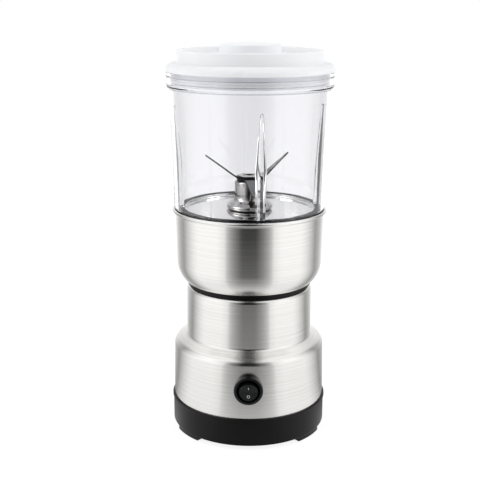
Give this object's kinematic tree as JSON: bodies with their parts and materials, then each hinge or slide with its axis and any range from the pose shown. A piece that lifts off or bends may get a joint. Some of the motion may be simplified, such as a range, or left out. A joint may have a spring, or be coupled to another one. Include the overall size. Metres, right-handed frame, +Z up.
{
  "type": "electric spice grinder",
  "caption": "Upright electric grinder: stepped steel motor base with a rocker switch, steel jar base, clear ribbed jar with cross blades, white lid.",
  "frame": {"origin": "on the ground under the drum's axis", "axes": "+Z up along the drum's axis, -Y towards the side with the switch, +X to the right seen from the switch side"},
  "size_m": [0.1062, 0.1084, 0.2507],
  "materials": {
    "black_plastic": "satin moulded",
    "rocker_plastic": "fine moulded",
    "brushed_steel": "brushed round the axis",
    "polished_steel": "polished",
    "black_rubber": "matt",
    "clear_silicone": "clear, soft",
    "clear_jar": "clear gloss",
    "white_plastic": "satin gloss",
    "white_silicone": "soft",
    "screw_steel": "zinc plated black",
    "sheet_laminations": "stacked electrical steel",
    "copper": "enamelled winding wire",
    "bronze": "sintered",
    "brass": "bright",
    "carbon": "pressed carbon",
    "spring_steel": "bright wire",
    "cast_bracket": "die cast",
    "fan_plastic": "moulded",
    "coupler_plastic": "moulded nylon",
    "coupler_rubber": "hard rubber"
  },
  "bodies": {
    "base": {"base_cover": "black_plastic", "foot_pads": "black_rubber", "base_screws": "screw_steel", "housing": "brushed_steel", "cup_seat": "black_plastic", "cord_inlet": "black_plastic", "switch_body": "black_plastic", "switch_terminals": "brass", "stator_core": "sheet_laminations", "field_coils": "copper", "lower_bracket": "cast_bracket", "upper_bracket": "cast_bracket", "lower_bush": "bronze", "upper_bush": "bronze", "brush_holders": "brass", "brushes": "carbon", "brush_springs": "spring_steel", "motor_mounts": "black_rubber", "motor_screws": "screw_steel"},
    "rocker": {"switch_rocker": "rocker_plastic"},
    "rotor": {"motor_shaft": "polished_steel", "armature_core": "sheet_laminations", "armature_windings": "copper", "commutator": "copper", "cooling_fan": "fan_plastic", "drive_coupler": "coupler_plastic"},
    "jar": {"jar_base_shell": "brushed_steel", "jar_foot": "black_plastic", "jar_holder": "black_plastic", "jar_screws": "screw_steel", "jar_seal": "black_rubber", "plate_seal": "clear_silicone", "floor_plate": "polished_steel", "blade_hub": "polished_steel", "hub_nut": "polished_steel", "spindle_bushes": "bronze", "clear_jar": "clear_jar"},
    "blades": {"blade_spindle": "polished_steel", "driven_coupler": "coupler_rubber", "lower_blade": "polished_steel", "upper_blade": "polished_steel", "blade_washers": "black_plastic", "blade_nut": "polished_steel"},
    "lid": {"lid": "white_plastic", "lid_gasket": "white_silicone"},
    "cap": {"filler_cap": "white_plastic"}
  },
  "joints": [
    {"name": "switch_rock", "type": "hinge", "parent": "base", "child": "rocker", "pos_m": [0, -0.05035, 0.0415], "axis": [-1, 0, 0], "range_deg": [0, 18]},
    {"name": "motor_spin", "type": "hinge", "parent": "base", "child": "rotor", "pos_m": [0, 0, 0.04], "axis": [0, 0, 1], "continuous": true},
    {"name": "jar_lift", "type": "slide", "parent": "base", "child": "jar", "axis": [0, 0, 1], "range_m": [0, 0.04]},
    {"name": "blade_spin", "type": "hinge", "parent": "jar", "child": "blades", "pos_m": [0, 0, 0.16], "axis": [0, 0, 1], "continuous": true},
    {"name": "lid_lift", "type": "slide", "parent": "jar", "child": "lid", "axis": [0, 0, 1], "range_m": [0, 0.03]},
    {"name": "cap_lift", "type": "slide", "parent": "lid", "child": "cap", "axis": [0, 0, 1], "range_m": [0, 0.02]}
  ],
  "couplings": [
    {"joint": "blade_spin", "follows": "motor_spin", "ratio": 1}
  ]
}
